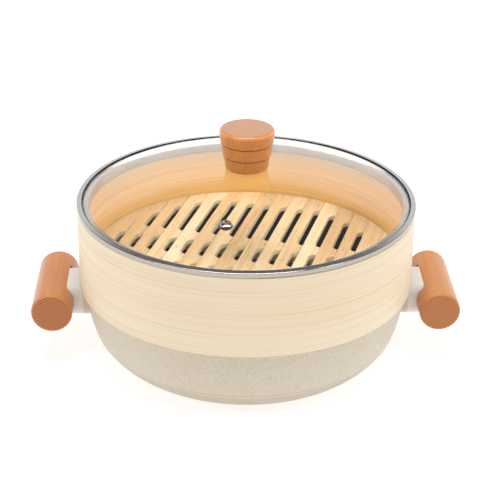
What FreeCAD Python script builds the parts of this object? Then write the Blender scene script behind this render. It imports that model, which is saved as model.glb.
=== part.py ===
# Steamer: a cast pot with two beech handles, one bamboo steamer ring with a slatted grate,
# and a domed glass lid with a steel rim and a turned knob.
# Millimetres, +Z up. The origin is the centre of the pot's base, and the handles lie on the X axis.

import FreeCAD, Part
import math
import os
import Sketcher

Vector = FreeCAD.Vector
UP = Vector(0, 0, 1)

# ---------------------------------------------------------------- driving dimensions

DIMENSIONS = {
    # pot
    "pot_height": 70.9,
    "pot_rim_radius": 135.2,
    "pot_shoulder_radius": 134.7,
    "pot_shoulder_height": 56.0,
    "pot_belly_radius": 132.2,
    "pot_belly_height": 38.0,
    "pot_crease_radius": 126.8,
    "pot_crease_height": 20.7,
    "pot_base_radius": 105.5,
    "pot_base_bow": 1.9,
    "pot_wall": 3.1,
    "pot_floor": 4.5,
    "pot_rim_round": 1.0,
    "plate_radius": 92.0,
    "plate_thickness": 1.2,
    # lugs and handles
    "lug_width": 42.0,
    "lug_height": 28.0,
    "lug_centre_height": 49.0,
    "lug_corner": 8.0,
    "lug_root_round": 2.0,
    "lug_reach": 150.1,
    "tongue_width": 26.0,
    "tongue_height": 9.0,
    "tongue_length": 19.0,
    "tongue_corner": 2.0,
    "handle_axis": 161.2,
    "handle_height": 49.3,
    "handle_radius": 17.0,
    "handle_length": 85.5,
    "handle_end_round": 3.0,
    "saddle_flat": 11.0,
    "saddle_width": 42.6,
    "handle_screw_spacing": 15.0,
    "handle_screw_radius": 2.0,
    "handle_screw_head_radius": 3.9,
    "handle_screw_head_height": 2.0,
    "handle_screw_length": 20.0,
    "handle_screw_sink": 0.6,
    "handle_screw_socket_radius": 1.3,
    "handle_screw_socket_depth": 1.2,
    # clearances
    "touch_gap": 0.02,
    "peg_clearance": 0.05,
    "bore_clearance": 0.1,
    "mortise_clearance": 0.2,
    "blind_clearance": 0.3,
    "cut_margin": 2.0,
    # steamer ring
    "hoop_bottom": 64.0,
    "hoop_top": 131.9,
    "outer_hoop_radius": 139.8,
    "outer_hoop_thickness": 4.0,
    "inner_hoop_radius": 135.6,
    "inner_hoop_thickness": 5.0,
    "inner_hoop_bottom": 71.0,
    "hoop_edge_round": 0.7,
    "ledge_radius": 130.4,
    "ledge_thickness": 6.0,
    "ledge_bottom": 70.2,
    "pin_radius": 1.25,
    "pin_height": 74.4,
    "pin_inner_end": 124.8,
    "pin_outer_end": 133.8,
    # grate
    "grate_bottom": 79.4,
    "grate_angle": 73.6,
    "grate_radius": 130.2,
    "slat_thickness": 3.8,
    "slat_pitch": 15.28,
    "slat_gap": 0.15,
    "slat_edge": 0.4,
    "first_joint": -110.3,
    "slot_depth": 5.4,
    "short_slot_end": 14.0,
    "long_slot_start": 29.2,
    "long_slot_limit": 102.0,
    "long_slot_circle": 112.0,
    "bar_start": 14.2,
    "bar_width": 14.8,
    "bar_thickness": 7.0,
    "bar_end_radius": 124.2,
    "peg_place": 21.6,
    "peg_radius": 1.2,
    "peg_depth": 2.5,
    "first_peg_inset": 4.5,
    # lid
    "rim_radius": 140.0,
    "rim_sheet": 0.5,
    "rim_bottom": 132.0,
    "rim_top": 136.3,
    "rim_lip_radius": 135.6,
    "rim_lip_fall": 0.4,
    "skirt_radius": 130.0,
    "skirt_bottom": 124.0,
    "rim_fold_round": 0.6,
    "glass_radius": 139.2,
    "glass_edge_bottom": 132.55,
    "glass_thickness": 2.8,
    "glass_flat_radius": 135.4,
    "glass_shoulder_radius": 134.8,
    "glass_shoulder_height": 135.6,
    "glass_crown": 162.6,
    "glass_shoulder_bow": 0.05,
    "glass_inner_shoulder_inset": 1.4,
    "glass_inner_flat_inset": 1.2,
    "knob_hole_radius": 3.6,
    "vent_distance": 88.0,
    "vent_bearing": -102.0,
    "vent_hole_radius": 4.2,
    "eyelet_flange_radius": 4.85,
    "eyelet_crown": 1.3,
    "eyelet_tube_radius": 3.1,
    "eyelet_bore_radius": 2.05,
    "eyelet_flange_bow": 0.35,
    "eyelet_lip": 0.45,
    "eyelet_rolled_end": 0.6,
    "collar_radius": 5.2,
    "collar_thickness": 0.7,
    # knob and its fixings
    "knob_bottom": 162.95,
    "knob_lower_groove": 174.3,
    "knob_upper_groove": 185.25,
    "knob_top": 197.1,
    "knob_foot_radius": 17.4,
    "knob_low_radius": 19.2,
    "knob_middle_foot_radius": 20.1,
    "knob_middle_radius": 21.0,
    "knob_high_foot_radius": 21.9,
    "knob_high_radius": 23.0,
    "knob_groove_depth": 1.3,
    "knob_groove_half": 0.55,
    "knob_top_round": 3.0,
    "knob_foot_round": 0.9,
    "insert_radius": 4.0,
    "insert_length": 14.0,
    "screw_radius": 2.5,
    "screw_head_radius": 4.6,
    "screw_head_height": 2.8,
    "screw_length": 18.5,
    "screw_rim": 0.8,
    "screw_rim_height": 0.9,
    "screw_recess_radius": 1.6,
    "screw_recess_top": 1.2,
    "gasket_radius": 10.0,
    "gasket_thickness": 0.3,
    "lower_gasket_radius": 9.0,
    "lower_gasket_gap": 0.15,
    "washer_radius": 9.4,
    "washer_thickness": 1.0,
}

SLAT_COUNT = 17
PIN_COUNT = 8

doc = FreeCAD.newDocument("steamer")
dims = doc.addObject("Spreadsheet::Sheet", "dims")
for row, (alias, value) in enumerate(DIMENSIONS.items(), start=1):
    dims.set(f"A{row}", alias)
    dims.set(f"B{row}", str(value))
    dims.setAlias(f"B{row}", alias)
doc.recompute()


def size(alias):
    return float(dims.get(alias))


def value_of(expression):
    return float(dims.evalExpression(expression))


# ---------------------------------------------------------------- helpers

def new_body(name):
    body = doc.addObject("PartDesign::Body", name)
    body.Label = name
    return body


def new_sketch(body, name, role="XY_Plane", height=None):
    sketch = body.newObject("Sketcher::SketchObject", name)
    plane = next(item for item in body.Origin.OriginFeatures if item.Role == role)
    sketch.AttachmentSupport = [(plane, "")]
    sketch.MapMode = "FlatFace"
    if height is not None:
        sketch.setExpression("AttachmentOffset.Base.z", height)
    return sketch


def hold(sketch, geometry, end, across, up):
    """Hold one end of a sketch edge at the place that two sheet expressions give."""
    for kind, axis, expression in (("DistanceX", -2, across), ("DistanceY", -1, up)):
        distance = value_of(expression)
        if abs(distance) < 1e-9:
            sketch.addConstraint(Sketcher.Constraint("PointOnObject", geometry, end, axis))
            continue
        ends = (-1, 1, geometry, end) if distance > 0 else (geometry, end, -1, 1)
        index = sketch.addConstraint(Sketcher.Constraint(kind, *ends, abs(distance)))
        sign = "" if distance > 0 else "-1 * "
        sketch.setExpression(f"Constraints[{index}]", f"{sign}({expression})")


def bowed_edge(start, stop, bow):
    """An arc between two points. A positive bow stands out to the right of the way from start
    to stop. The arc itself always runs anticlockwise, as sketches number its ends."""
    chord = stop - start
    right = Vector(chord.y, -chord.x, 0).normalize()
    radius = (chord.Length ** 2 / 4 + bow ** 2) / (2 * abs(bow))
    centre = (start + stop) * 0.5 + right * (bow - math.copysign(radius, bow))
    ends = (start, stop) if bow > 0 else (stop, start)
    turns = [math.atan2(end.y - centre.y, end.x - centre.x) for end in ends]
    if turns[1] < turns[0]:
        turns[1] += 2 * math.pi
    return Part.ArcOfCircle(Part.Circle(centre, UP, radius), *turns)


def outline(sketch, corners):
    """Draw a closed outline. A corner is (across, up) or (across, up, bow): the edge that leaves
    a corner with a bow is an arc that stands out by that much to the right of its chord."""
    places = [Vector(value_of(corner[0]), value_of(corner[1]), 0) for corner in corners]
    first = sketch.GeometryCount
    for index, corner in enumerate(corners):
        following = (index + 1) % len(corners)
        start_end = 1
        if len(corner) == 3:
            bow = value_of(corner[2])
            start_end = 1 if bow > 0 else 2
            edge = bowed_edge(places[index], places[following], bow)
        else:
            edge = Part.LineSegment(places[index], places[following])
        sketch.addGeometry(edge)
        hold(sketch, first + index, start_end, corner[0], corner[1])
        hold(sketch, first + index, 3 - start_end, corners[following][0], corners[following][1])
        if len(corner) == 3:
            sketch.addConstraint(Sketcher.Constraint("Radius", first + index, edge.Radius))


def circle(sketch, radius, across="0", up="0"):
    centre = Vector(value_of(across), value_of(up), 0)
    index = sketch.addGeometry(Part.Circle(centre, UP, value_of(radius)))
    hold(sketch, index, 3, across, up)
    rule = sketch.addConstraint(Sketcher.Constraint("Radius", index, value_of(radius)))
    sketch.setExpression(f"Constraints[{rule}]", radius)


def box_outline(sketch, left, right, low, high):
    outline(sketch, [(left, low), (right, low), (right, high), (left, high)])


def rounded_outline(sketch, width, height, corner, centre_height):
    """A rectangle with round corners, centred across and at a height."""
    half_width = value_of(width) / 2
    half_height = value_of(height) / 2
    middle = value_of(centre_height)
    radius = value_of(corner)
    for side in (-1, 1):
        sketch.addGeometry(Part.LineSegment(
            Vector(side * half_width, middle - half_height + radius, 0),
            Vector(side * half_width, middle + half_height - radius, 0)))
        sketch.addGeometry(Part.LineSegment(
            Vector(-half_width + radius, middle + side * half_height, 0),
            Vector(half_width - radius, middle + side * half_height, 0)))
    for quarter in range(4):
        angle = quarter * math.pi / 2
        across = half_width - radius if quarter in (0, 3) else radius - half_width
        up = half_height - radius if quarter in (0, 1) else radius - half_height
        ring = Part.Circle(Vector(across, middle + up, 0), UP, radius)
        sketch.addGeometry(Part.ArcOfCircle(ring, angle, angle + math.pi / 2))


def pad(body, sketch, name, length, midplane=False, reversed_way=False):
    feature = body.newObject("PartDesign::Pad", name)
    feature.Profile = sketch
    feature.setExpression("Length", length)
    feature.Midplane = midplane
    feature.Reversed = reversed_way
    sketch.Visibility = False
    return feature


def pocket(body, sketch, name, length=None, midplane=False, reversed_way=False):
    """Cut a sketch away, through everything or to a depth, and make sure that it cuts."""
    doc.recompute()
    before = body.Shape.Volume
    feature = body.newObject("PartDesign::Pocket", name)
    feature.Profile = sketch
    if length is None:
        feature.Type = "ThroughAll"
    else:
        feature.setExpression("Length", length)
    feature.Midplane = midplane
    feature.Reversed = reversed_way
    doc.recompute()
    if feature.Shape.Volume > before - 1e-3:
        raise RuntimeError(f"{body.Label}: {name} cuts nothing")
    return feature


def revolve(body, sketch, name, kind="PartDesign::Revolution"):
    feature = body.newObject(kind, name)
    feature.Profile = sketch
    feature.ReferenceAxis = (sketch, ["V_Axis"])
    feature.Angle = 360
    return feature


def polar(body, features, name, count):
    pattern = body.newObject("PartDesign::PolarPattern", name)
    pattern.Originals = features
    axis = next(item for item in body.Origin.OriginFeatures if item.Role == "Z_Axis")
    pattern.Axis = (axis, [""])
    pattern.Angle = 360
    pattern.Occurrences = count
    body.Tip = pattern
    return pattern


def soften(body, base, name, kind, amount, test):
    """Round or chamfer the edges of a feature that pass a test."""
    doc.recompute()
    edges = [f"Edge{i}" for i, edge in enumerate(base.Shape.Edges, start=1) if test(edge)]
    feature = body.newObject(f"PartDesign::{kind}", name)
    feature.Base = (base, edges)
    feature.setExpression("Radius" if kind == "Fillet" else "Size", amount)
    return feature


def is_level(edge, height):
    return abs(edge.BoundBox.ZMin - height) < 1e-4 and abs(edge.BoundBox.ZMax - height) < 1e-4


def turned(name, corners):
    """A piece turned about the Z axis from an outline in the XZ plane."""
    body = new_body(name)
    sketch = new_sketch(body, f"{name}_outline", "XZ_Plane")
    outline(sketch, corners)
    revolve(body, sketch, f"{name}_turn")
    return body


def ring_corners(inner, outer, low, high):
    return [(inner, low), (outer, low), (outer, high), (inner, high)]


def solid_group(name, shapes):
    """Identical fasteners kept together as a group of separate solids."""
    group = doc.addObject("Part::Feature", name)
    group.Label = name
    group.Shape = Part.makeCompound(shapes)
    return group


# ---------------------------------------------------------------- pot

def wall_places():
    """The outside of the pot's wall, from base to rim: a bowed heel up to the crease, then the
    belly, the shoulder and the rim."""
    base = Vector(size("pot_base_radius"), 0, 0)
    crease = Vector(size("pot_crease_radius"), size("pot_crease_height"), 0)
    chord = crease - base
    heel = (base + crease) * 0.5 + Vector(chord.y, -chord.x, 0).normalize() * size("pot_base_bow")
    belly = Vector(size("pot_belly_radius"), size("pot_belly_height"), 0)
    shoulder = Vector(size("pot_shoulder_radius"), size("pot_shoulder_height"), 0)
    rim = Vector(size("pot_rim_radius"), size("pot_height"), 0)
    return [base, heel, crease, belly, shoulder, rim]


def smooth_curve(places):
    curve = Part.BSplineCurve()
    curve.interpolate(places)
    return curve


def outside_edges():
    base, heel, crease, belly, shoulder, rim = wall_places()
    return [bowed_edge(base, crease, size("pot_base_bow")),
            smooth_curve([crease, belly, shoulder, rim])], base, rim


def inside_edges():
    """The outside moved inwards by the wall's thickness, down to the floor."""
    places = wall_places()
    outside = smooth_curve(places)
    inner = []
    for place in places:
        along = outside.tangent(outside.parameter(place))[0]
        inner.append(place + Vector(-along.y, along.x, 0) * size("pot_wall"))
    inner[0].y = size("pot_floor")
    inner[-1].y = size("pot_height") + size("pot_rim_round")
    return [smooth_curve(inner)], inner[0], inner[-1]


def wall_sketch(body, name, wall, floor):
    """The area between the axis and the wall's section."""
    edges, foot, rim = wall
    sketch = new_sketch(body, name, "XZ_Plane")
    for edge in edges:
        sketch.addGeometry(edge)
    sketch.addGeometry(Part.LineSegment(rim, Vector(0, rim.y, 0)))
    sketch.addGeometry(Part.LineSegment(Vector(0, rim.y, 0), Vector(0, foot.y, 0)))
    last = sketch.addGeometry(Part.LineSegment(Vector(0, foot.y, 0), foot))
    hold(sketch, last, 1, "0", floor)
    return sketch


def make_pot_body():
    body = new_body("pot_body")
    revolve(body, wall_sketch(body, "pot_outside", outside_edges(), "0"), "pot_blank")
    recess = new_sketch(body, "plate_recess")
    circle(recess, "dims.plate_radius + dims.bore_clearance")
    pocket(body, recess, "plate_recess_cut", "dims.plate_thickness", reversed_way=True)

    lug = new_sketch(body, "lug_section", "YZ_Plane")
    rounded_outline(lug, "dims.lug_width", "dims.lug_height", "dims.lug_corner",
                    "dims.lug_centre_height")
    lug_pad = pad(body, lug, "lug", "dims.lug_reach")

    tongue = new_sketch(body, "tongue_section", "YZ_Plane")
    rounded_outline(tongue, "dims.tongue_width", "dims.tongue_height", "dims.tongue_corner",
                    "dims.handle_height")
    tongue_pad = pad(body, tongue, "tongue", "dims.lug_reach + dims.tongue_length")

    holes = new_sketch(body, "screw_holes")
    for side in (-1, 1):
        circle(holes, "dims.handle_screw_radius", "dims.handle_axis",
               f"{side} * dims.handle_screw_spacing / 2")
    hole_cut = pocket(body, holes, "screw_hole_cut", reversed_way=True)

    polar(body, [lug_pad, tongue_pad, hole_cut], "both_lugs", 2)

    cavity = revolve(body, wall_sketch(body, "pot_inside", inside_edges(), "dims.pot_floor"),
                     "cavity", "PartDesign::Groove")
    doc.recompute()

    lug_top = size("lug_centre_height") + size("lug_height") / 2

    def is_root(edge):
        """True for the edges where a lug meets the wall."""
        box = edge.BoundBox
        reach = sorted((abs(box.XMin), abs(box.XMax)))
        beside_wall = size("pot_crease_radius") < reach[0] and reach[1] < size("pot_rim_radius")
        below_rim = box.ZMax < lug_top + size("cut_margin")
        beside_lug = abs(box.YMin) < size("lug_width") / 2 + size("cut_margin")
        return beside_wall and below_rim and beside_lug

    rooted = soften(body, cavity, "lug_roots", "Fillet", "dims.lug_root_round", is_root)
    soften(body, rooted, "rim_round", "Fillet", "dims.pot_rim_round",
           lambda edge: is_level(edge, size("pot_height")))
    return body


def make_induction_plate():
    body = new_body("induction_plate")
    sketch = new_sketch(body, "plate_outline")
    circle(sketch, "dims.plate_radius")
    pad(body, sketch, "plate", "dims.plate_thickness")
    return body


def make_handle(name, turn):
    """A beech cylinder along Y. The saddle, on its -X side, takes the lug and its tongue."""
    body = new_body(name)
    section = new_sketch(body, f"{name}_section", "XZ_Plane")
    circle(section, "dims.handle_radius")
    bar = pad(body, section, f"{name}_bar", "dims.handle_length", midplane=True)
    soften(body, bar, f"{name}_ends", "Fillet", "dims.handle_end_round",
           lambda edge: edge.BoundBox.YLength < 1e-6)

    saddle = new_sketch(body, f"{name}_saddle")
    box_outline(saddle, "-1 * dims.handle_radius - dims.cut_margin", "-1 * dims.saddle_flat",
                "-1 * dims.saddle_width / 2", "dims.saddle_width / 2")
    pocket(body, saddle, f"{name}_saddle_cut", "2 * dims.handle_radius + dims.cut_margin",
           midplane=True)

    mortise = new_sketch(body, f"{name}_mortise", "YZ_Plane", "-1 * dims.handle_radius")
    half_width = "(dims.tongue_width / 2 + dims.mortise_clearance)"
    half_height = "(dims.tongue_height / 2 + dims.mortise_clearance)"
    box_outline(mortise, f"-1 * {half_width}", half_width, f"-1 * {half_height}", half_height)
    tongue_end = "(dims.lug_reach + dims.tongue_length - dims.handle_axis)"
    pocket(body, mortise, f"{name}_mortise_cut",
           f"dims.handle_radius + {tongue_end} + dims.blind_clearance", reversed_way=True)

    start = "-1 * dims.handle_radius - dims.cut_margin"
    bores = new_sketch(body, f"{name}_bores", height=start)
    heads = new_sketch(body, f"{name}_heads", height=start)
    for side in (-1, 1):
        place = f"{side} * dims.handle_screw_spacing / 2"
        circle(bores, "dims.handle_screw_radius + dims.bore_clearance", "0", place)
        circle(heads, "dims.handle_screw_head_radius + dims.bore_clearance", "0", place)
    sunk = "dims.cut_margin + dims.handle_screw_sink"
    pocket(body, bores, f"{name}_bore_cut",
           f"{sunk} + dims.handle_screw_length + dims.blind_clearance", reversed_way=True)
    pocket(body, heads, f"{name}_head_cut",
           f"{sunk} + dims.handle_screw_head_height + dims.bore_clearance", reversed_way=True)

    reach = Vector(size("handle_axis"), 0, 0)
    rotation = FreeCAD.Rotation(UP, turn)
    place = rotation.multVec(reach)
    body.Placement = FreeCAD.Placement(place, rotation)
    body.setExpression("Placement.Base.z", "dims.handle_height")
    return body


def make_handle_screws():
    """Flat-headed screws, driven from below through each handle into the lug's tongue."""
    low = size("handle_height") - size("handle_radius") + size("handle_screw_sink")
    head_height = size("handle_screw_head_height")
    shapes = []
    for turn in (0, 180):
        for side in (-1, 1):
            place = Vector(size("handle_axis"), side * size("handle_screw_spacing") / 2, low)
            head = Part.makeCylinder(size("handle_screw_head_radius"), head_height, place)
            shank = Part.makeCylinder(size("handle_screw_radius") - size("touch_gap"),
                                      size("handle_screw_length"), place)
            socket = Part.makeCylinder(size("handle_screw_socket_radius"),
                                       size("handle_screw_socket_depth"), place)
            screw = head.fuse(shank).cut(socket).removeSplitter()
            screw.rotate(Vector(0, 0, 0), UP, turn)
            shapes.append(screw)
    return solid_group("handle_screws", shapes)


# ---------------------------------------------------------------- steamer ring

def make_hoop(name, radius, thickness, low, high, edge):
    body = turned(name, ring_corners(f"{radius} - {thickness}", radius, low, high))
    turn = body.Tip
    doc.recompute()
    levels = (value_of(low), value_of(high))
    soften(body, turn, f"{name}_edges", "Fillet", edge,
           lambda item: any(is_level(item, level) for level in levels))
    return body


def bore_for_pins(body, end):
    """Radial holes for the pins: one is cut along Y, then repeated round the hoop."""
    sketch = new_sketch(body, f"{body.Label}_pin_hole", "XZ_Plane")
    circle(sketch, "dims.pin_radius + dims.peg_clearance", "0", "dims.pin_height")
    hole = pocket(body, sketch, f"{body.Label}_pin_cut", end)
    return polar(body, [hole], f"{body.Label}_pin_holes", PIN_COUNT)


def make_hoop_pins():
    length = size("pin_outer_end") - size("pin_inner_end")
    shapes = []
    for index in range(PIN_COUNT):
        angle = 2 * math.pi * index / PIN_COUNT + math.pi / 2
        outward = Vector(math.cos(angle), math.sin(angle), 0)
        start = outward * size("pin_inner_end") + UP * size("pin_height")
        shapes.append(Part.makeCylinder(size("pin_radius"), length, start, outward))
    return solid_group("hoop_pins", shapes)


# The grate's own frame has X along the slats. Y counts the slats, from the high numbers to
# the low ones, so a joint between two slats lies at the negative of its distance.

def joint_place(index):
    return f"(dims.first_joint + {index} * dims.slat_pitch)"


def lay_in_grate(body, height):
    body.Placement = FreeCAD.Placement(Vector(0, 0, 0),
                                       FreeCAD.Rotation(UP, size("grate_angle")))
    body.setExpression("Placement.Base.z", height)
    body.setExpression("Placement.Rotation.Angle", "dims.grate_angle * 1 deg")


def slat_peg_place(number):
    """Where the peg of a slat stands across the grate, or None for the slat past the bars."""
    if number == SLAT_COUNT:
        return None
    middle = size("first_joint") + (number - 1.5) * size("slat_pitch")
    if number == 1:
        middle = size("first_joint") - size("first_peg_inset")
    return -middle


def cut_slot(sketch, start, stop, joint):
    """Half of a round-ended slot, open along the joint between two slats."""
    edge = -value_of(joint)
    past = edge - size("cut_margin")
    depth = size("slot_depth")
    bow = depth * (1 - math.sqrt(0.5))
    points = [Vector(start, past, 0), Vector(start, edge, 0),
              Vector(start + depth, edge + depth, 0), Vector(stop - depth, edge + depth, 0),
              Vector(stop, edge, 0), Vector(stop, past, 0)]
    for index, begin in enumerate(points):
        end = points[(index + 1) % len(points)]
        if index in (1, 3):
            sketch.addGeometry(bowed_edge(begin, end, -bow))
        else:
            sketch.addGeometry(Part.LineSegment(begin, end))


def trim_to_circle(body, radius):
    """Cut away all that stands outside a circle about the origin."""
    sketch = new_sketch(body, f"{body.Label}_trim")
    circle(sketch, radius)
    circle(sketch, "2 * dims.grate_radius")
    return pocket(body, sketch, f"{body.Label}_trim_cut", reversed_way=True)


def make_slat(number):
    body = new_body(f"slat_{number:02d}")
    past = "(dims.grate_radius + dims.cut_margin)"
    low_joint = joint_place(number - 2) if number > 1 else f"(-1 * {past})"
    high_joint = joint_place(number - 1) if number < SLAT_COUNT else past
    sketch = new_sketch(body, f"{body.Label}_outline")
    box_outline(sketch, f"-1 * {past}", past,
                f"-1 * {high_joint} + dims.slat_gap / 2", f"-1 * {low_joint} - dims.slat_gap / 2")
    pad(body, sketch, f"{body.Label}_board", "dims.slat_thickness")
    doc.recompute()
    trim_to_circle(body, "dims.grate_radius")

    if number <= SLAT_COUNT - 2:
        slots = new_sketch(body, f"{body.Label}_slots")
        cut_slot(slots, -size("short_slot_end"), size("short_slot_end"), high_joint)
        if number > 1:
            joint = value_of(high_joint)
            reach = math.sqrt(size("long_slot_circle") ** 2 - joint ** 2)
            reach = min(reach, size("long_slot_limit"))
            cut_slot(slots, size("long_slot_start"), reach, high_joint)
            cut_slot(slots, -reach, -size("long_slot_start"), high_joint)
        pocket(body, slots, f"{body.Label}_slot_cut", reversed_way=True)
    doc.recompute()
    soften(body, body.Tip, f"{body.Label}_edges", "Chamfer", "dims.slat_edge",
           lambda edge: is_level(edge, size("slat_thickness")))

    across = slat_peg_place(number)
    if across is not None:
        holes = new_sketch(body, f"{body.Label}_peg_holes")
        for side in (-1, 1):
            circle(holes, "dims.peg_radius + dims.peg_clearance",
                   f"{side} * dims.peg_place", f"{across}")
        pocket(body, holes, f"{body.Label}_peg_cut", "dims.peg_depth + dims.blind_clearance",
               reversed_way=True)
    lay_in_grate(body, "dims.grate_bottom")
    return body


def make_crossbar(name, side):
    body = new_body(name)
    sketch = new_sketch(body, f"{name}_outline")
    near = f"{side} * dims.bar_start"
    far = f"{side} * (dims.bar_start + dims.bar_width)"
    left, right = (near, far) if side > 0 else (far, near)
    box_outline(sketch, left, right, "-1 * dims.grate_radius", "dims.grate_radius")
    pad(body, sketch, f"{name}_board", "dims.bar_thickness")
    doc.recompute()
    trim_to_circle(body, "dims.bar_end_radius")
    holes = new_sketch(body, f"{name}_peg_holes")
    for number in range(1, SLAT_COUNT):
        circle(holes, "dims.peg_radius + dims.peg_clearance",
               f"{side} * dims.peg_place", f"{slat_peg_place(number)}")
    pocket(body, holes, f"{name}_peg_cut", reversed_way=True)
    lay_in_grate(body, "dims.grate_bottom - dims.bar_thickness")
    return body


def make_grate_pegs():
    length = size("bar_thickness") + size("peg_depth")
    low = size("grate_bottom") - size("bar_thickness")
    shapes = []
    for side in (-1, 1):
        for number in range(1, SLAT_COUNT):
            place = Vector(side * size("peg_place"), slat_peg_place(number), low)
            peg = Part.makeCylinder(size("peg_radius"), length, place)
            peg.rotate(Vector(0, 0, 0), UP, size("grate_angle"))
            shapes.append(peg)
    return solid_group("grate_pegs", shapes)


# ---------------------------------------------------------------- lid

def make_lid_rim():
    """Steel sheet rolled into a C over the edge of the glass, with a skirt that hangs inside
    the steamer ring."""
    inner = "dims.rim_radius - dims.rim_sheet"
    under = "dims.rim_bottom + dims.rim_sheet"
    skirt_inner = "dims.skirt_radius - dims.rim_sheet"
    lip_outer = "dims.rim_top - dims.rim_lip_fall"
    body = turned("lid_rim", [
        ("dims.skirt_radius", "dims.rim_bottom"),
        ("dims.rim_radius", "dims.rim_bottom"),
        ("dims.rim_radius", lip_outer),
        ("dims.rim_lip_radius", "dims.rim_top"),
        ("dims.rim_lip_radius", "dims.rim_top - dims.rim_sheet"),
        (inner, f"{lip_outer} - dims.rim_sheet"),
        (inner, under),
        (skirt_inner, under),
        (skirt_inner, "dims.skirt_bottom"),
        ("dims.skirt_radius", "dims.skirt_bottom"),
    ])
    folds = (size("rim_bottom"), value_of(lip_outer))
    soften(body, body.Tip, "rim_folds", "Fillet", "dims.rim_fold_round",
           lambda edge: any(is_level(edge, level) for level in folds)
           and edge.BoundBox.XMax > size("rim_radius") - size("touch_gap"))
    return body


def dome_ball():
    """The radius of the ball that the outside of the dome is part of."""
    radius = size("glass_shoulder_radius")
    rise = size("glass_crown") - size("glass_shoulder_height")
    return (radius ** 2 + rise ** 2) / (2 * rise)


def dome_height(radius, depth=0.0):
    """The height of the dome at a distance from the axis, at a depth under its outside."""
    ball = dome_ball()
    return size("glass_crown") - ball + math.sqrt((ball - depth) ** 2 - radius ** 2)


def dome_arc(inner, outer, depth=0.0):
    """Both ends of the dome's section between two distances from the axis, and its bow."""
    low = dome_height(outer, depth)
    high = dome_height(inner, depth)
    half_chord = math.hypot(outer - inner, high - low) / 2
    ball = dome_ball() - depth
    return low, high, ball - math.sqrt(ball ** 2 - half_chord ** 2)


def make_lid_glass():
    """A shallow dome with a steeper shoulder and a flat edge that the rim holds."""
    hole = size("knob_hole_radius")
    shoulder = size("glass_shoulder_radius")
    thickness = size("glass_thickness")
    inset = size("glass_inner_shoulder_inset")
    low, high, bow = dome_arc(hole, shoulder)
    inner_low, inner_high, inner_bow = dome_arc(hole, shoulder - inset, thickness)
    body = turned("lid_glass", [
        ("dims.knob_hole_radius", f"{inner_high}", f"{-inner_bow}"),
        ("dims.glass_shoulder_radius - dims.glass_inner_shoulder_inset", f"{inner_low}",
         "-1 * dims.glass_shoulder_bow"),
        ("dims.glass_flat_radius - dims.glass_inner_flat_inset", "dims.glass_edge_bottom"),
        ("dims.glass_radius", "dims.glass_edge_bottom"),
        ("dims.glass_radius", "dims.glass_edge_bottom + dims.glass_thickness"),
        ("dims.glass_flat_radius", "dims.glass_edge_bottom + dims.glass_thickness",
         "dims.glass_shoulder_bow"),
        ("dims.glass_shoulder_radius", f"{low}", f"{bow}"),
        ("dims.knob_hole_radius", f"{high}"),
    ])
    holes = new_sketch(body, "vent_hole")
    bearing = math.radians(size("vent_bearing"))
    circle(holes, "dims.vent_hole_radius",
           f"{math.cos(bearing)} * dims.vent_distance", f"{math.sin(bearing)} * dims.vent_distance")
    pocket(body, holes, "vent_hole_cut", reversed_way=True)
    return body


def set_on_dome(body):
    """Stand a piece on the glass at the vent, square to the dome, its own origin on the outside."""
    distance = size("vent_distance")
    bearing = math.radians(size("vent_bearing"))
    outward = Vector(math.cos(bearing), math.sin(bearing), 0)
    tilt = math.asin(distance / dome_ball())
    normal = outward * math.sin(tilt) + UP * math.cos(tilt)
    body.Placement = FreeCAD.Placement(outward * distance + UP * dome_height(distance),
                                       FreeCAD.Rotation(UP, normal))


def make_vent():
    """A steel eyelet through the glass, with a collar that holds it from below."""
    foot = "-1 * dims.glass_thickness - dims.collar_thickness - dims.eyelet_rolled_end"
    eyelet = turned("vent_eyelet", [
        ("dims.eyelet_bore_radius", foot),
        ("dims.eyelet_tube_radius", foot),
        ("dims.eyelet_tube_radius", "dims.peg_clearance"),
        ("dims.eyelet_flange_radius", "dims.peg_clearance", "dims.eyelet_flange_bow"),
        ("dims.eyelet_bore_radius + dims.eyelet_lip", "dims.eyelet_crown"),
        ("dims.eyelet_bore_radius", "dims.eyelet_crown - dims.eyelet_lip"),
    ])
    set_on_dome(eyelet)
    top = "-1 * dims.glass_thickness - dims.bore_clearance"
    collar = turned("vent_collar", ring_corners(
        "dims.eyelet_tube_radius + dims.peg_clearance", "dims.collar_radius",
        f"{top} - dims.collar_thickness", top))
    set_on_dome(collar)


def make_knob():
    """Three tiers, each wider towards the top, parted by V grooves."""
    groove = "dims.knob_groove_half"
    deep = "dims.knob_groove_depth"
    corners = [
        ("0", "dims.knob_bottom"),
        ("dims.knob_foot_radius", "dims.knob_bottom"),
        ("dims.knob_low_radius", f"dims.knob_lower_groove - {groove}"),
        (f"dims.knob_low_radius - {deep}", "dims.knob_lower_groove"),
        ("dims.knob_middle_foot_radius", f"dims.knob_lower_groove + {groove}"),
        ("dims.knob_middle_radius", f"dims.knob_upper_groove - {groove}"),
        (f"dims.knob_middle_radius - {deep}", "dims.knob_upper_groove"),
        ("dims.knob_high_foot_radius", f"dims.knob_upper_groove + {groove}"),
        ("dims.knob_high_radius", "dims.knob_top"),
        ("0", "dims.knob_top"),
    ]
    body = turned("knob", corners)
    top = soften(body, body.Tip, "knob_top_edge", "Fillet", "dims.knob_top_round",
                 lambda edge: is_level(edge, size("knob_top")))
    soften(body, top, "knob_foot_edge", "Fillet", "dims.knob_foot_round",
           lambda edge: is_level(edge, size("knob_bottom")))
    doc.recompute()
    bore = new_sketch(body, "knob_bore", height="dims.knob_bottom")
    circle(bore, "dims.insert_radius + dims.peg_clearance")
    pocket(body, bore, "knob_bore_cut", "dims.insert_length + 2 * dims.blind_clearance",
           reversed_way=True)
    return body


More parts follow.
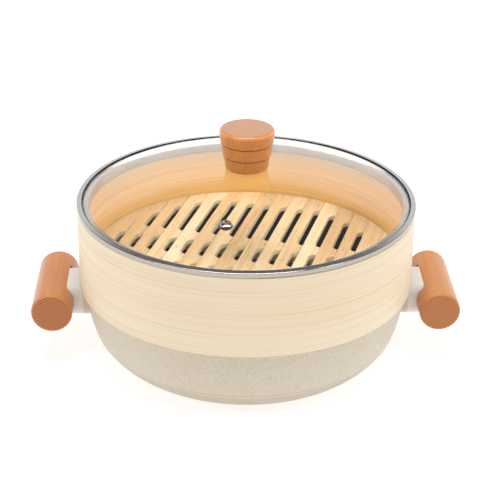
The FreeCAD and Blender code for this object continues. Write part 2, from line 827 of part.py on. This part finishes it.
def make_knob_fixings():
    """From the top: a threaded insert in the knob, a gasket, the glass, a gasket, a washer and
    the screw that holds them together."""
    turned("knob_insert", ring_corners(
        "dims.screw_radius", "dims.insert_radius",
        "dims.knob_bottom + dims.bore_clearance", "dims.knob_bottom + dims.insert_length"))
    gasket_bore = "dims.screw_radius + dims.blind_clearance"
    upper = "dims.glass_crown + dims.touch_gap"
    turned("knob_gasket_upper", ring_corners(
        gasket_bore, "dims.gasket_radius", upper, f"{upper} + dims.gasket_thickness"))

    gasket_top = "dims.glass_crown - dims.glass_thickness - dims.lower_gasket_gap"
    gasket_foot = f"{gasket_top} - dims.gasket_thickness"
    turned("knob_gasket_lower", ring_corners(
        gasket_bore, "dims.lower_gasket_radius", gasket_foot, gasket_top))
    washer_top = f"{gasket_foot} - dims.touch_gap"
    washer_foot = f"{washer_top} - dims.washer_thickness"
    turned("knob_washer", ring_corners(
        "dims.screw_radius + dims.mortise_clearance", "dims.washer_radius",
        washer_foot, washer_top))

    seat = f"{washer_foot} - dims.touch_gap"
    head_top = f"{seat} - dims.screw_head_height"
    shank = "dims.screw_radius - dims.touch_gap"
    turned("knob_screw", [
        ("0", f"{seat} - dims.screw_recess_top"),
        ("dims.screw_recess_radius", f"{seat} - dims.screw_recess_top"),
        ("dims.screw_recess_radius", head_top),
        ("dims.screw_head_radius - dims.screw_rim", head_top),
        ("dims.screw_head_radius", f"{head_top} + dims.screw_rim_height"),
        ("dims.screw_head_radius", seat),
        (shank, seat),
        (shank, f"{seat} + dims.screw_length"),
        ("0", f"{seat} + dims.screw_length"),
    ])


# ---------------------------------------------------------------- build and write

def build():
    make_pot_body()
    make_induction_plate()
    make_handle("handle_right", 0)
    make_handle("handle_left", 180)
    make_handle_screws()

    make_hoop("outer_hoop", "dims.outer_hoop_radius", "dims.outer_hoop_thickness",
              "dims.hoop_bottom", "dims.hoop_top", "dims.hoop_edge_round")
    inner = make_hoop("inner_hoop", "dims.inner_hoop_radius", "dims.inner_hoop_thickness",
                      "dims.inner_hoop_bottom", "dims.hoop_top", "dims.hoop_edge_round")
    bore_for_pins(inner, "dims.pin_outer_end + dims.blind_clearance")
    ledge = make_hoop("ledge_hoop", "dims.ledge_radius", "dims.ledge_thickness",
                      "dims.ledge_bottom", "dims.grate_bottom - dims.touch_gap", "dims.slat_edge")
    bore_for_pins(ledge, "dims.pin_outer_end")
    make_hoop_pins()
    for number in range(1, SLAT_COUNT + 1):
        make_slat(number)
    make_crossbar("crossbar_front", -1)
    make_crossbar("crossbar_back", 1)
    make_grate_pegs()

    make_lid_rim()
    make_lid_glass()
    make_knob()
    make_knob_fixings()
    make_vent()
    doc.recompute()


def write_parts():
    for item in doc.Objects:
        if "Invalid" in item.State or "Error" in item.State:
            raise RuntimeError(f"{item.Label} failed: {item.State}")
    pieces = [item for item in doc.Objects
              if item.TypeId in ("PartDesign::Body", "Part::Feature")]
    os.makedirs("parts", exist_ok=True)
    for piece in pieces:
        shape = piece.Shape
        if shape.isNull() or not shape.isValid():
            raise RuntimeError(f"{piece.Label} has no valid shape")
        print(f"{piece.Label:20s} {len(shape.Solids):3d} solids {shape.Volume:12.1f} mm3")
        shape.exportStep(f"parts/{piece.Label}.step")


build()
write_parts()
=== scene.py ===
import math

import bpy
from mathutils import Matrix, Vector

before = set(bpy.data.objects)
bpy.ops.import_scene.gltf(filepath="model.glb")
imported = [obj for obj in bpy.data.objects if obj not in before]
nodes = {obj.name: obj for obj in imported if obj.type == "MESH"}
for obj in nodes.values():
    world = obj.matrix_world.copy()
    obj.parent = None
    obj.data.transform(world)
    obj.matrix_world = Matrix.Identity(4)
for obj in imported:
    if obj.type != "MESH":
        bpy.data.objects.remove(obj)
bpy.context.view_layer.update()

MM = 0.001

SLAT_ANGLE = math.radians(73.6)
SLAT_PITCH = 15.28 * MM
FIRST_JOINT = -110.3 * MM
LIP_RADIUS = 135.6 * MM
POT_RADIUS = 135.2 * MM
CREASE_HEIGHT = 20.7 * MM

# how far a seed moves a pattern along each axis, in pattern units
SEED_SHIFT = (1.0, 1.7, 2.3)
PLANE = (1, 1, 0)
RINGS_PER_METRE = 460.0

# camera: place in metres, angles in degrees, lens and sensor in millimetres
EYE_PLACE = (-0.0366, -1.0981, 0.6271)
EYE_HEADING = (0.0366, 0.9993, 0)
EYE_PITCH = 26.18
EYE_ROLL = 0.77
EYE_LENS = 104.56
EYE_SENSOR = 36
LAMP_TARGET = (0, 0, 0.1)


# ---------------------------------------------------------------- finishes

def tone(red, green, blue):
    """A linear colour from 0 to 255 display values."""
    def linear(value):
        value /= 255
        return value / 12.92 if value <= 0.04045 else ((value + 0.055) / 1.055) ** 2.4
    return linear(red), linear(green), linear(blue), 1.0


class Finish:
    """One procedural material, built up around its Principled shader."""

    def __init__(self, name, **values):
        self.material = bpy.data.materials.new(name)
        self.material.use_nodes = True
        self.tree = self.material.node_tree
        self.shader = self.tree.nodes["Principled BSDF"]
        for key, value in values.items():
            self.shader.inputs[key.replace("_", " ")].default_value = value
        self.place = self.node("ShaderNodeTexCoord").outputs["Object"]

    def node(self, kind, inputs=None, **settings):
        made = self.tree.nodes.new(kind)
        for key, value in settings.items():
            setattr(made, key, value)
        for key, value in (inputs or {}).items():
            if isinstance(value, bpy.types.NodeSocket):
                self.tree.links.new(value, made.inputs[key])
            else:
                made.inputs[key].default_value = value
        return made

    def turn(self, angle):
        """Turn the pattern about Z, so that its X runs at this angle."""
        self.place = self.node("ShaderNodeMapping", {
            "Vector": self.place, "Rotation": (0, 0, -angle)}).outputs[0]

    def spread(self, scale, seed):
        """The place, scaled on each axis and moved by the seed."""
        shift = tuple(seed * part for part in SEED_SHIFT)
        return self.node("ShaderNodeMapping", {
            "Vector": self.place, "Scale": scale, "Location": shift}).outputs[0]

    def noise(self, scale, detail=3.0, seed=0.0, roughness=0.55):
        return self.node("ShaderNodeTexNoise", {
            "Vector": self.spread(scale, seed), "Scale": 1.0, "Detail": detail,
            "Roughness": roughness}).outputs["Fac"]

    def cells(self, scale, seed=0.0):
        """The distance to the nearest of many scattered points."""
        return self.node("ShaderNodeTexVoronoi", {
            "Vector": self.spread(scale, seed), "Scale": 1.0}).outputs["Distance"]

    def vector(self, operation, first, second=None):
        inputs = {0: first} if second is None else {0: first, 1: second}
        return self.node("ShaderNodeVectorMath", inputs, operation=operation)

    def dot(self, first, second):
        return self.vector("DOT_PRODUCT", first, second).outputs["Value"]

    def along(self, direction):
        return self.dot(self.place, direction)

    def normal(self):
        return self.node("ShaderNodeNewGeometry").outputs["Normal"]

    def upright(self):
        """How far the face looks up: 1 on top, 0 on a wall, -1 underneath."""
        return self.node("ShaderNodeSeparateXYZ", {0: self.normal()}).outputs["Z"]

    def height(self):
        return self.node("ShaderNodeSeparateXYZ", {0: self.place}).outputs["Z"]

    def flat_place(self):
        return self.vector("MULTIPLY", self.place, PLANE).outputs[0]

    def radius(self):
        return self.vector("LENGTH", self.flat_place()).outputs["Value"]

    def line(self, value, middle, half_width):
        """1 on a thin line where the value meets its middle, fading to 0 on both sides."""
        away = self.math("ABSOLUTE", self.math("SUBTRACT", value, middle))
        return self.span(away, 0.4 * half_width, half_width, 1.0, 0.0)

    def math(self, operation, first, second=0.0):
        return self.node("ShaderNodeMath", {0: first, 1: second}, operation=operation).outputs[0]

    def span(self, value, low, high, start=0.0, end=1.0, smooth=True):
        return self.node("ShaderNodeMapRange", {
            "Value": value, "From Min": low, "From Max": high, "To Min": start, "To Max": end},
            interpolation_type="SMOOTHSTEP" if smooth else "LINEAR").outputs["Result"]

    def ramp(self, factor, *stops):
        made = self.node("ShaderNodeValToRGB", {"Fac": factor})
        elements = made.color_ramp.elements
        while len(elements) < len(stops):
            elements.new(0.5)
        for element, (position, colour) in zip(elements, stops):
            element.position = position
            element.color = colour
        return made.outputs["Color"]

    def mix(self, factor, first, second, blend="MIX"):
        made = self.node("ShaderNodeMix", data_type="RGBA", blend_type=blend)
        wanted = ((made.inputs[0], factor), (made.inputs[6], first), (made.inputs[7], second))
        for socket, value in wanted:
            if isinstance(value, bpy.types.NodeSocket):
                self.tree.links.new(value, socket)
            else:
                socket.default_value = value
        return made.outputs[2]

    def bump(self, height, depth, normal=None):
        inputs = {"Height": height, "Distance": depth, "Strength": 1.0}
        if normal is not None:
            inputs["Normal"] = normal
        return self.node("ShaderNodeBump", inputs).outputs["Normal"]

    def set(self, **sockets):
        for key, value in sockets.items():
            self.tree.links.new(value, self.shader.inputs[key.replace("_", " ")])


def inside_of_pot(f):
    """1 on the pot's inner wall and floor: faces that look at the axis, or up from low down."""
    outward = f.vector("NORMALIZE", f.flat_place()).outputs[0]
    wall = f.math("LESS_THAN", f.dot(f.normal(), outward), -0.1)
    looks_up = f.math("GREATER_THAN", f.upright(), 0.5)
    low = f.math("MULTIPLY", looks_up, f.math("LESS_THAN", f.height(), 30 * MM))
    return f.math("MAXIMUM", wall, low)


def pot_coating():
    """Matte beige coating with brown and pale specks; the inside is dark. Painted shade darkens the
    lower wall and the line where the wall bends; painted light makes the lugs paler.
    """
    f = Finish("pot_coating", Roughness=0.5, Specular_IOR_Level=0.35)
    wide = f.noise((9, 9, 9), detail=2)
    fine = f.noise((900, 900, 900), detail=4)
    base = f.ramp(wide, (0.3, tone(211, 197, 176)), (0.7, tone(217, 204, 184)))
    grain = f.ramp(fine, (0.25, tone(176, 160, 135)), (0.75, tone(244, 238, 224)))
    colour = f.mix(0.35, base, grain)
    spot = f.span(f.cells((620, 620, 620), seed=3), 0.16, 0.24, 1.0, 0.0)
    thin_out = f.span(f.noise((300, 300, 300), detail=1, seed=9), 0.48, 0.56)
    brown = f.math("MULTIPLY", f.math("MULTIPLY", spot, thin_out), 0.55)
    colour = f.mix(brown, colour, tone(120, 96, 70))
    pale = f.span(f.cells((480, 480, 480), seed=21), 0.12, 0.2, 1.0, 0.0)
    colour = f.mix(f.math("MULTIPLY", pale, 0.5), colour, tone(250, 246, 236))
    # painted shade: the coating is made darker below the bend and towards the bottom, standing in for
    # shade on the down-facing lower wall
    lower_wall_shade = f.span(f.height(), 0.8 * CREASE_HEIGHT, CREASE_HEIGHT, 0.45, 0.0)
    colour = f.mix(lower_wall_shade, colour, tone(176, 160, 136))
    # painted shade: a thin darker line where the wall changes slope
    bend_shade = f.math("MULTIPLY", f.line(f.height(), CREASE_HEIGHT, 0.6 * MM), 0.35)
    colour = f.mix(bend_shade, colour, tone(120, 106, 88))
    # painted light: the lugs, beyond the wall's radius, are mixed towards near-white so that they
    # read brighter
    beyond_wall = f.math("ABSOLUTE", f.along((1, 0, 0)))
    painted_lug_light = f.math("MULTIPLY", f.span(beyond_wall, POT_RADIUS, POT_RADIUS + 3 * MM), 0.75)
    colour = f.mix(painted_lug_light, colour, tone(240, 240, 238))
    dark = f.ramp(fine, (0.3, tone(50, 42, 33)), (0.75, tone(74, 64, 51)))
    f.set(Base_Color=f.mix(inside_of_pot(f), colour, dark),
          Roughness=f.span(fine, 0.3, 0.7, 0.42, 0.58),
          Normal=f.bump(f.noise((1400, 1400, 1400), detail=3, seed=4), 0.00005))
    return f.material


def hoop_wood(name, pale, deep, line, strength):
    """Thin sheet wood bent round, so that the grain runs round the ring."""
    f = Finish(name, Roughness=0.42, Specular_IOR_Level=0.35)
    broad = f.noise((2.5, 2.5, 70), detail=2, seed=1)
    lines = f.noise((2.2, 2.2, 900), detail=2, seed=5)
    fine = f.noise((5, 5, 2400), detail=2, seed=8)
    pores = f.noise((160, 160, 3200), detail=2, seed=12)
    colour = f.ramp(broad, (0.3, deep), (0.7, pale))
    colour = f.mix(f.math("MULTIPLY", f.span(lines, 0.5, 0.78), 0.75 * strength), colour, line)
    colour = f.mix(f.math("MULTIPLY", f.span(fine, 0.42, 0.75), 0.55 * strength), colour, line)
    colour = f.mix(f.math("MULTIPLY", f.span(pores, 0.6, 0.75), 0.35 * strength), colour, line)
    f.set(Base_Color=colour, Roughness=f.span(fine, 0.3, 0.8, 0.36, 0.52),
          Normal=f.bump(lines, 0.00008, f.bump(fine, 0.00005)))
    return f.material


def bamboo(name):
    """Split bamboo, with its fibres along the slat, a tone of its own for each slat, and painted
    light on its side walls.
    """
    f = Finish(name, Roughness=0.45, Specular_IOR_Level=0.4)
    f.turn(SLAT_ANGLE)
    across = f.math("MULTIPLY", f.along((0, 1, 0)), -1.0)
    slats_in = f.math("DIVIDE", f.math("SUBTRACT", across, FIRST_JOINT), SLAT_PITCH)
    step = f.math("FLOOR", slats_in)
    own = f.node("ShaderNodeTexWhiteNoise", {"W": f.math("ADD", step, 40.0)},
                 noise_dimensions="1D").outputs["Value"]
    fibres = f.noise((14, 900, 900), detail=5, seed=2, roughness=0.65)
    bands = f.noise((9, 190, 190), detail=3, seed=6)
    colour = f.ramp(own, (0.0, tone(188, 154, 110)), (0.4, tone(210, 181, 138)),
                    (1.0, tone(226, 204, 168)))
    colour = f.mix(f.math("MULTIPLY", f.span(bands, 0.35, 0.7), 0.4), colour, tone(188, 152, 106))
    colour = f.mix(f.math("MULTIPLY", f.span(fibres, 0.5, 0.72), 0.5), colour, tone(136, 92, 50))
    flecks = f.span(f.cells((40, 420, 420), seed=11), 0.1, 0.18, 1.0, 0.0)
    colour = f.mix(f.math("MULTIPLY", flecks, 0.6), colour, tone(104, 66, 34))
    spots = f.span(f.cells((90, 150, 150), seed=17), 0.07, 0.13, 1.0, 0.0)
    colour = f.mix(f.math("MULTIPLY", spots, 0.6), colour, tone(112, 76, 42))
    beside_joint = f.span(f.math("FRACT", slats_in), 0.8, 0.97)
    in_patches = f.span(f.noise((7, 60, 60), detail=2, seed=23), 0.5, 0.62)
    skin = f.math("MULTIPLY", beside_joint, in_patches)
    colour = f.mix(f.math("MULTIPLY", skin, 0.6), colour, tone(150, 152, 96))
    # painted light: faces that look sideways, such as the slats' walls, get a paler tone than the
    # tops, standing in for light falling on them
    painted_wall_light = f.span(f.math("ABSOLUTE", f.upright()), 0.2, 0.6, 0.85, 0.0)
    colour = f.mix(painted_wall_light, colour, tone(255, 240, 205))
    f.set(Base_Color=colour, Roughness=f.span(fibres, 0.3, 0.8, 0.38, 0.6),
          Normal=f.bump(fibres, 0.00015))
    return f.material


def beech(name, grain, ring, pale, deep, end_tone, end_rings, coat, seed):
    """Lacquered beech: fine fibres along the grain, rings faint on the sides, clearer on the ends."""
    f = Finish(name, Roughness=0.34, Coat_Weight=coat, Coat_Roughness=0.1,
               Specular_IOR_Level=0.3)
    lengthwise = [abs(part) > 0.5 for part in grain]
    stretch = tuple(34 if part else 1000 for part in lengthwise)
    slow = tuple(6 if part else 45 for part in lengthwise)
    fleck = tuple(260 if part else 1700 for part in lengthwise)
    bend = f.noise(slow, detail=2, seed=seed)
    straight = f.math("MULTIPLY", f.along(ring), RINGS_PER_METRE)
    rings = f.math("ADD", straight, f.math("MULTIPLY", bend, 1.6))
    wave = f.span(f.math("SINE", f.math("MULTIPLY", rings, math.tau)), 0.1, 1.0)
    fibres = f.noise(stretch, detail=3, seed=seed + 3, roughness=0.6)
    colour = f.ramp(f.noise(slow, detail=2, seed=seed + 13), (0.3, deep), (0.7, pale))
    colour = f.mix(f.math("MULTIPLY", wave, 0.12), colour, tone(170, 96, 46))
    dark_fibres = f.math("MULTIPLY", f.span(fibres, 0.48, 0.72), 0.3)
    colour = f.mix(dark_fibres, colour, tone(176, 104, 52))
    spots = f.span(f.cells(fleck, seed=seed + 7), 0.12, 0.24, 1.0, 0.0)
    colour = f.mix(f.math("MULTIPLY", spots, 0.35), colour, tone(150, 80, 36))
    on_end = f.span(f.math("ABSOLUTE", f.dot(f.normal(), grain)), 0.75, 0.95)
    end_colour = f.mix(f.math("MULTIPLY", wave, end_rings), end_tone, tone(140, 74, 38))
    pores = f.span(f.noise((1500, 1500, 1500), seed=seed + 5), 0.5, 0.7)
    end_colour = f.mix(f.math("MULTIPLY", pores, 0.3), end_colour, tone(140, 78, 40))
    f.set(Base_Color=f.mix(on_end, colour, end_colour),
          Roughness=f.span(fibres, 0.3, 0.75, 0.3, 0.42),
          Normal=f.bump(fibres, 0.00003))
    return f.material


def steel(name, roughness):
    f = Finish(name, Metallic=1.0)
    haze = f.noise((180, 180, 180), detail=4, seed=2)
    f.set(Roughness=f.span(haze, 0.35, 0.7, roughness, roughness + 0.06),
          Base_Color=f.ramp(haze, (0.3, tone(196, 193, 189)), (0.7, tone(208, 205, 201))),
          Normal=f.bump(f.noise((1500, 1500, 90), detail=2, seed=6), 0.000004))
    return f.material


def rim_steel():
    """Mirror steel, with a painted shadow line where its lip closes on the glass and painted shade on
    the band's outer face.
    """
    f = Finish("rim_steel", Metallic=1.0)
    haze = f.noise((180, 180, 180), detail=4, seed=2)
    # painted shadow: a thin dark line round the lip's inner edge, where it meets the glass
    lip_shadow = f.math("MULTIPLY", f.line(f.radius(), LIP_RADIUS, 0.45 * MM), 0.85)
    colour = f.ramp(haze, (0.3, tone(196, 193, 189)), (0.7, tone(206, 203, 199)))
    # painted shade: the upright outer faces of the band get a darker steel tone
    band_shade = f.span(f.math("ABSOLUTE", f.upright()), 0.3, 0.7, 1.0, 0.0)
    colour = f.mix(band_shade, colour, tone(176, 169, 160))
    f.set(Base_Color=f.mix(lip_shadow, colour, tone(70, 66, 62)),
          Roughness=f.span(haze, 0.35, 0.7, 0.07, 0.13),
          Normal=f.bump(f.noise((1500, 1500, 90), detail=2, seed=6), 0.000004))
    return f.material


def plain(name, low, high, roughness, metallic=0.0):
    f = Finish(name, Metallic=metallic, Roughness=roughness)
    haze = f.noise((500, 500, 500), detail=4)
    f.set(Base_Color=f.ramp(haze, (0.3, low), (0.7, high)),
          Roughness=f.span(haze, 0.3, 0.7, roughness - 0.05, roughness + 0.08),
          Normal=f.bump(haze, 0.00002))
    return f.material


def clear_glass():
    """Clear glass that lets the lamps' light straight through to what is under it."""
    f = Finish("lid_glass", Transmission_Weight=1.0, IOR=1.5, Base_Color=(0.985, 0.99, 0.985, 1.0))
    smear = f.noise((26, 26, 26), detail=4, seed=3)
    f.set(Roughness=f.span(smear, 0.45, 0.75, 0.0, 0.02))
    shadow = f.node("ShaderNodeLightPath").outputs["Is Shadow Ray"]
    through = f.node("ShaderNodeBsdfTransparent", {"Color": (0.98, 0.98, 0.98, 1.0)})
    blend = f.node("ShaderNodeMixShader", {
        0: shadow, 1: f.shader.outputs[0], 2: through.outputs[0]})
    output = f.tree.nodes["Material Output"]
    f.tree.links.new(blend.outputs[0], output.inputs["Surface"])
    return f.material


def paint(material, *names):
    for name in names:
        for slot in nodes[name].material_slots:
            slot.material = material


slats = [f"slat_{number:02d}" for number in range(1, 18)]
outer_wood = hoop_wood("outer_hoop_wood", tone(250, 232, 203), tone(247, 226, 194),
                       tone(214, 178, 130), 0.5)
inner_wood = hoop_wood("inner_hoop_wood", tone(249, 209, 134), tone(239, 195, 118),
                       tone(186, 134, 72), 0.6)
bamboo_wood = bamboo("slat_bamboo")
paint(pot_coating(), "pot_body")
paint(steel("base_steel", 0.35), "induction_plate")
paint(outer_wood, "outer_hoop")
paint(inner_wood, "inner_hoop", "ledge_hoop")
paint(bamboo_wood, *slats, "crossbar_front", "crossbar_back", "grate_pegs", "hoop_pins")
handle_tones = tone(210, 144, 88), tone(202, 132, 76), tone(194, 122, 70)
knob_tones = tone(240, 158, 86), tone(230, 142, 70), tone(196, 142, 102)
paint(beech("beech_left", (0, 1, 0), (-0.375, 0, 0.927), *handle_tones, 0.7, 0.2, 1.0),
      "handle_left")
paint(beech("beech_right", (0, 1, 0), (-0.3, 0, 0.954), *handle_tones, 0.25, 0.2, 5.0),
      "handle_right")
paint(beech("beech_knob", (0, 0, 1), (0.9, 0.4, 0), *knob_tones, 0.3, 0.6, 9.0), "knob")
paint(rim_steel(), "lid_rim")
paint(steel("polished_steel", 0.06), "vent_eyelet", "vent_collar")
paint(steel("screw_steel", 0.22), "handle_screws", "knob_screw", "knob_washer")
paint(plain("brass", tone(196, 158, 84), tone(222, 188, 110), 0.3, 1.0), "knob_insert")
paint(plain("silicone", tone(214, 210, 204), tone(228, 225, 220), 0.5),
      "knob_gasket_upper", "knob_gasket_lower")
paint(clear_glass(), "lid_glass")


# ---------------------------------------------------------------- studio

def band(tree, value, low, high, start, end):
    """A smooth change of strength between two values of one axis of the direction."""
    made = tree.nodes.new("ShaderNodeMapRange")
    made.interpolation_type = "SMOOTHSTEP"
    for key, number in (("From Min", low), ("From Max", high), ("To Min", start), ("To Max", end)):
        made.inputs[key].default_value = number
    tree.links.new(value, made.inputs["Value"])
    return made.outputs["Result"]


def surroundings():
    """A white room: bright low down and behind, dimmer overhead and on the viewer's side."""
    world = bpy.data.worlds.new("studio")
    world.use_nodes = True
    tree = world.node_tree
    background = tree.nodes["Background"]
    background.inputs["Color"].default_value = (1, 1, 1, 1)
    coords = tree.nodes.new("ShaderNodeTexCoord")
    split = tree.nodes.new("ShaderNodeSeparateXYZ")
    both = tree.nodes.new("ShaderNodeMath")
    both.operation = "MULTIPLY"
    tree.links.new(coords.outputs["Generated"], split.inputs[0])
    low, high = math.sin(math.radians(27)), math.sin(math.radians(34))
    by_height = band(tree, split.outputs["Z"], low, high, 0.9, 0.2)
    by_depth = band(tree, split.outputs["Y"], -0.6, 0.4, 0.45, 1.0)
    tree.links.new(by_height, both.inputs[0])
    tree.links.new(by_depth, both.inputs[1])
    tree.links.new(both.outputs[0], background.inputs["Strength"])
    bpy.context.scene.world = world


def floor():
    """A pale floor that glows, more strongly far behind the object."""
    bpy.ops.mesh.primitive_plane_add(size=12)
    plane = bpy.context.object
    plane.name = "studio_floor"
    f = Finish("studio_floor", Base_Color=(0.5, 0.5, 0.5, 1), Roughness=0.9,
               Emission_Color=(1, 1, 1, 1))
    f.set(Emission_Strength=f.span(f.along((0, 1, 0)), 0.35, 1.2, 0.72, 1.3))
    plane.data.materials.append(f.material)


def softbox(name, place, width, height, power):
    """A rectangular lamp turned to the middle of the object."""
    light = bpy.data.lights.new(name, "AREA")
    light.shape = "RECTANGLE"
    light.size = width
    light.size_y = height
    light.energy = power
    lamp = bpy.data.objects.new(name, light)
    lamp.location = place
    aim = Vector(LAMP_TARGET) - Vector(place)
    lamp.rotation_euler = aim.to_track_quat("-Z", "Y").to_euler()
    bpy.context.scene.collection.objects.link(lamp)


def camera():
    """Stands in front and above, a touch to the left, and leans by under a degree."""
    pitch = math.radians(EYE_PITCH)
    roll = math.radians(EYE_ROLL)
    heading = Vector(EYE_HEADING).normalized()
    forward = heading * math.cos(pitch) - Vector((0, 0, math.sin(pitch)))
    level = forward.cross(Vector((0, 0, 1))).normalized()
    rise = level.cross(forward)
    right = level * math.cos(roll) + rise * math.sin(roll)
    up = rise * math.cos(roll) - level * math.sin(roll)
    lens = bpy.data.cameras.new("camera")
    lens.lens = EYE_LENS
    lens.sensor_width = EYE_SENSOR
    eye = bpy.data.objects.new("camera", lens)
    turned = Matrix((right, up, -forward)).transposed().to_4x4()
    eye.matrix_world = Matrix.Translation(EYE_PLACE) @ turned
    bpy.context.scene.collection.objects.link(eye)
    bpy.context.scene.camera = eye


bpy.context.scene.view_settings.view_transform = "Standard"
surroundings()
floor()
softbox("softbox_left", (-1.2, -0.7, 1.5), 0.6, 0.8, 6)
softbox("softbox_right", (1.3, -0.6, 1.5), 0.6, 0.8, 8)
softbox("softbox_top", (0.0, -0.1, 1.9), 1.2, 0.9, 26)
camera()
